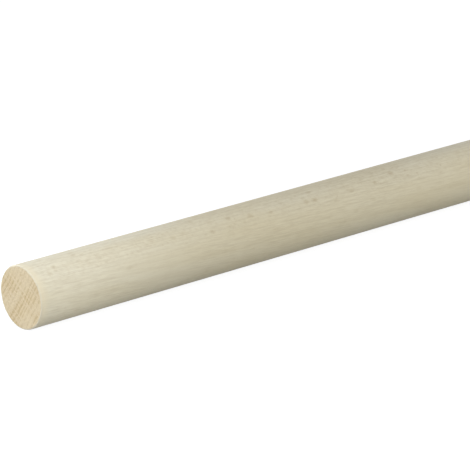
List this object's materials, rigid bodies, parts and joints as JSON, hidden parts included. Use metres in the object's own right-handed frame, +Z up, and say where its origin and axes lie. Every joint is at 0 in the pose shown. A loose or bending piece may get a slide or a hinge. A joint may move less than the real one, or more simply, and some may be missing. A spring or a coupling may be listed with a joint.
{
  "type": "wooden dowel rod",
  "caption": "Smooth round beech dowel rod, a plain straight cylinder sawn square at both ends with lightly eased edges, for sockets, rails and drilled joints.",
  "frame": {"origin": "centre of the near sawn end, on the rod's axis", "axes": "+X along the rod's axis from the near sawn end to the far one, +Z up with the rod lying level"},
  "size_m": [1, 0.025, 0.025],
  "materials": {
    "beech": "pale unfinished beech, smooth machined side with fine lengthwise grain and ray flecks, sawn end grain"
  },
  "bodies": {
    "root": {"dowel_rod": "beech"}
  },
  "joints": []
}
